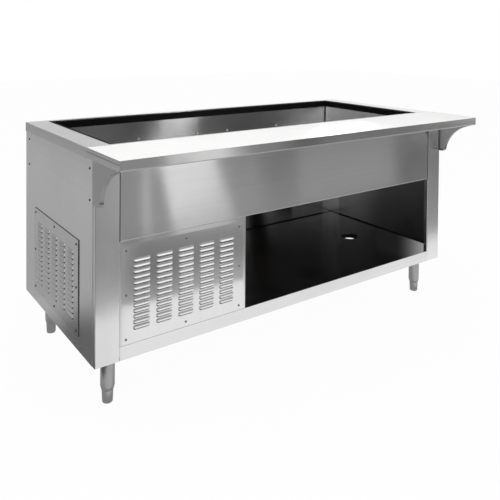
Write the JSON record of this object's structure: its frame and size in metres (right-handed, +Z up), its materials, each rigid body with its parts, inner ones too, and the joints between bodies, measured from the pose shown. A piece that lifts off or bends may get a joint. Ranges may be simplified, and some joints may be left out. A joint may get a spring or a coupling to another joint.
{
  "type": "refrigerated table",
  "caption": "Stainless serving table with an open refrigerated well, a white board on a front shelf, louvered machine bay and open storage bay on round legs.",
  "frame": {"origin": "floor level, middle of the footprint", "axes": "+X along the front from the machine bay to the storage bay, +Y from front to back, +Z up"},
  "size_m": [1.8336, 0.99, 0.914],
  "materials": {
    "stainless": "satin, brushed along the length",
    "board": "white polyethylene, faintly sawn",
    "breaker": "black, low sheen",
    "galvanised": "galvanised, dull spangle",
    "foam": "rigid foam",
    "copper": "drawn copper",
    "pot": "black paint",
    "rubber": "matt",
    "fins": "mill",
    "fan": "matt black",
    "valve": "cast brass",
    "lever": "red sleeve",
    "knob": "satin black",
    "rocker": "gloss black",
    "foot": "satin"
  },
  "bodies": {
    "cabinet": {"post_front_left": "stainless", "post_front_right": "stainless", "post_back_left": "stainless", "post_back_right": "stainless", "end_panel_left": "stainless", "end_panel_right": "stainless", "back_panel": "stainless", "front_apron": "stainless", "access_frame": "stainless", "partition": "stainless", "bottom_shelf": "stainless", "top_sheet": "stainless", "work_shelf": "stainless", "shelf_bracket_left": "stainless", "shelf_bracket_right": "stainless", "louver_panel_front": "stainless", "louver_panel_left": "stainless", "breaker_strips": "breaker", "cold_pan": "stainless", "drain_pipe": "stainless", "pan_insulation": "foam", "pan_jacket": "galvanised", "evaporator_coil": "copper", "drain_valve_body": "valve", "condensing_base": "galvanised", "condenser_core": "fins", "fan_shroud": "galvanised", "fan_motor": "pot", "motor_pedestal": "galvanised", "compressor": "pot", "compressor_mounts": "rubber", "refrigerant_lines": "copper", "control_box": "galvanised", "legs": "stainless"},
    "cutting_board": {"cutting_board": "board"},
    "fan": {"fan_blade": "fan"},
    "thermostat_knob": {"thermostat_knob": "knob"},
    "power_rocker": {"power_rocker": "rocker"},
    "drain_valve_lever": {"drain_valve_lever": "lever"},
    "foot_front_left": {"foot_front_left": "foot"},
    "foot_front_right": {"foot_front_right": "foot"},
    "foot_back_left": {"foot_back_left": "foot"},
    "foot_back_right": {"foot_back_right": "foot"}
  },
  "joints": [
    {"name": "board_lift", "type": "slide", "parent": "cabinet", "child": "cutting_board", "axis": [0, 0, 1], "range_m": [0, 0.25]},
    {"name": "fan_spin", "type": "hinge", "parent": "cabinet", "child": "fan", "pos_m": [-0.60215, -0.135, 0.399], "axis": [0, 1, 0], "continuous": true},
    {"name": "thermostat_turn", "type": "hinge", "parent": "cabinet", "child": "thermostat_knob", "pos_m": [-0.34735, -0.252, 0.512], "axis": [0, -1, 0], "range_deg": [0, 270]},
    {"name": "power_rock", "type": "hinge", "parent": "cabinet", "child": "power_rocker", "pos_m": [-0.34735, -0.252, 0.46], "axis": [1, 0, 0], "range_deg": [0, 18]},
    {"name": "drain_valve_turn", "type": "hinge", "parent": "cabinet", "child": "drain_valve_lever", "pos_m": [0.66985, 0.062, 0.5918], "axis": [0, 1, 0], "range_deg": [0, 90]},
    {"name": "foot_front_left_screw", "type": "slide", "parent": "cabinet", "child": "foot_front_left", "axis": [0, 0, -1], "range_m": [0, 0.025]},
    {"name": "foot_front_right_screw", "type": "slide", "parent": "cabinet", "child": "foot_front_right", "axis": [0, 0, -1], "range_m": [0, 0.025]},
    {"name": "foot_back_left_screw", "type": "slide", "parent": "cabinet", "child": "foot_back_left", "axis": [0, 0, -1], "range_m": [0, 0.025]},
    {"name": "foot_back_right_screw", "type": "slide", "parent": "cabinet", "child": "foot_back_right", "axis": [0, 0, -1], "range_m": [0, 0.025]}
  ]
}
